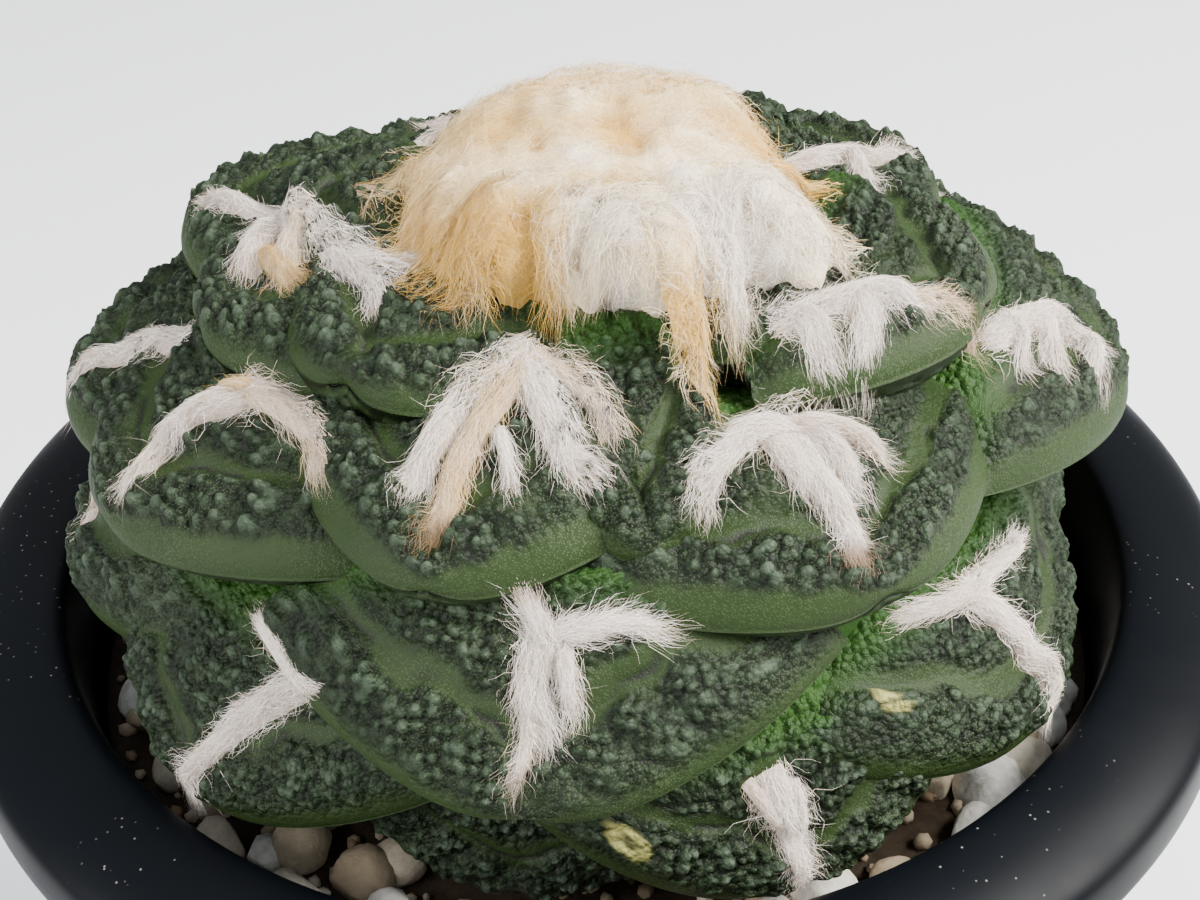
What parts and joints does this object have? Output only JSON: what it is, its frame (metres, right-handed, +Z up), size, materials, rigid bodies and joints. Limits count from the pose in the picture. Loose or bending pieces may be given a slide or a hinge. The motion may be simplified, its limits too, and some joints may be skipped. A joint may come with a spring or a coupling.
{
  "type": "potted living rock cactus",
  "caption": "Living rock cactus with warty, overlapping three-cornered tubercles and a mound of wool on its crown, in a black plastic pot of gravelly soil.",
  "frame": {"origin": "centre of the flat underside of the pot, on the pot's axis", "axes": "+Z up, along the pot's axis; -Y towards the viewer of the picture; +X to the viewer's right"},
  "size_m": [0.135, 0.135, 0.1642],
  "materials": {
    "black_plastic": "satin black, slightly bluish",
    "gravel": "rough, dry, white to brown stones",
    "cactus_skin": "matt dark green, warty",
    "areole_wool": "whitish plant wool",
    "crown_wool": "cream to golden plant wool"
  },
  "bodies": {
    "root": {"pot": "black_plastic", "soil": "gravel", "cactus_body": "cactus_skin", "crown_wool": "crown_wool", "areole_wool_01": "areole_wool", "areole_wool_02": "areole_wool", "areole_wool_03": "areole_wool", "areole_wool_04": "areole_wool", "areole_wool_05": "areole_wool", "areole_wool_06": "areole_wool", "areole_wool_07": "areole_wool", "areole_wool_08": "areole_wool", "areole_wool_09": "areole_wool", "areole_wool_10": "areole_wool", "areole_wool_11": "areole_wool", "areole_wool_12": "areole_wool", "areole_wool_13": "areole_wool", "areole_wool_14": "areole_wool", "areole_wool_15": "areole_wool", "areole_wool_16": "areole_wool", "areole_wool_17": "areole_wool", "areole_wool_18": "areole_wool", "areole_wool_19": "areole_wool", "areole_wool_20": "areole_wool", "areole_wool_21": "areole_wool", "areole_wool_22": "areole_wool", "areole_wool_23": "areole_wool"}
  },
  "joints": []
}
